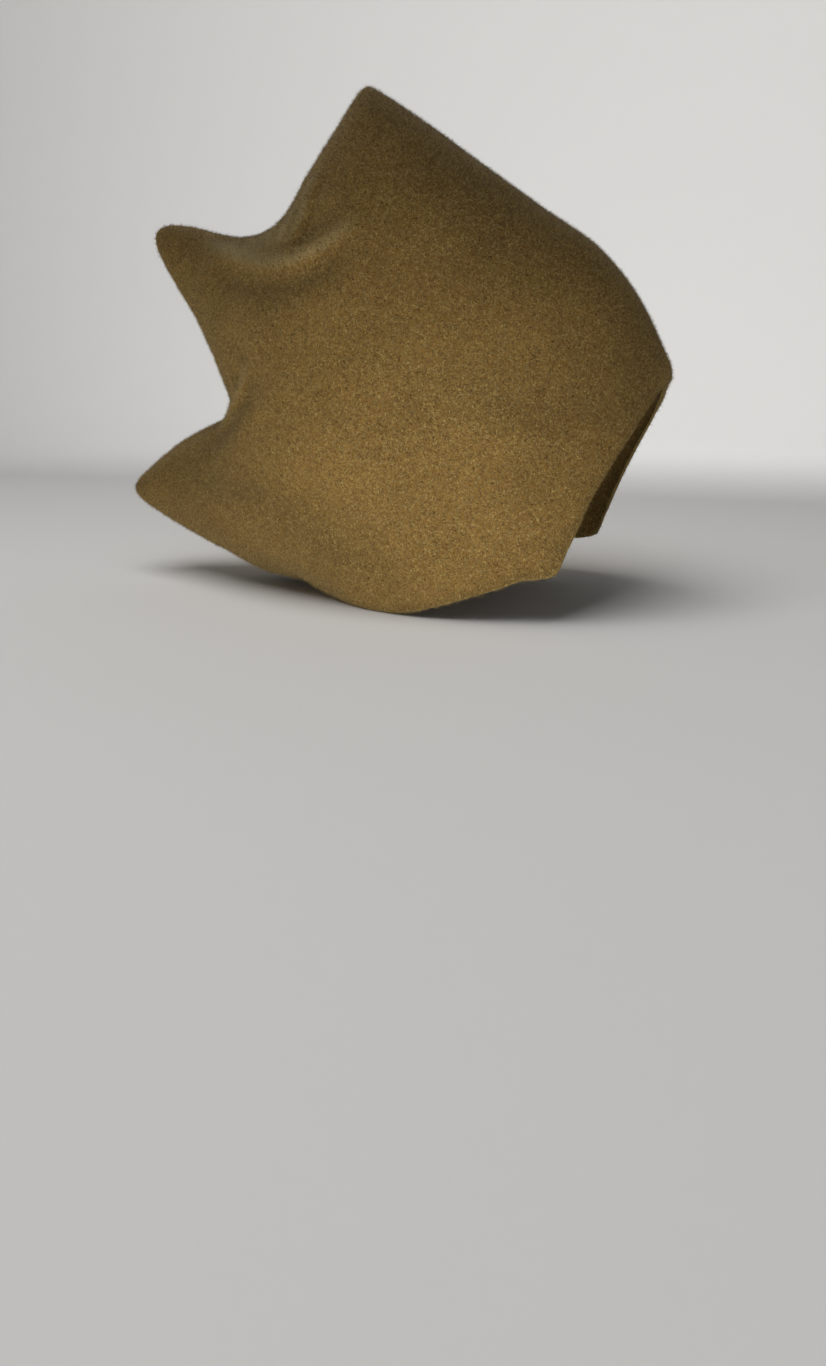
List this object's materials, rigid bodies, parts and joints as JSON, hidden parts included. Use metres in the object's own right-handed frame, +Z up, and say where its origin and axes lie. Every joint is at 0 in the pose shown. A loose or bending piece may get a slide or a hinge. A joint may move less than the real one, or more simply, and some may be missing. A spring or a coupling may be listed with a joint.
{
  "type": "sculpted felt cap",
  "caption": "Blocked wool-felt cap, hollow, with a front peak, low cheek corners and pointed horns drawn out of its crown and back.",
  "frame": {"origin": "middle of the bounding box at the level of the surface the rim stands on", "axes": "+X the way the wearer faces, +Y the wearer's left, +Z up"},
  "size_m": [0.3178, 0.1678, 0.26],
  "materials": {
    "wool_felt": "brushed matte wool felt, olive khaki"
  },
  "bodies": {
    "root": {"felt_cap": "wool_felt"}
  },
  "joints": []
}
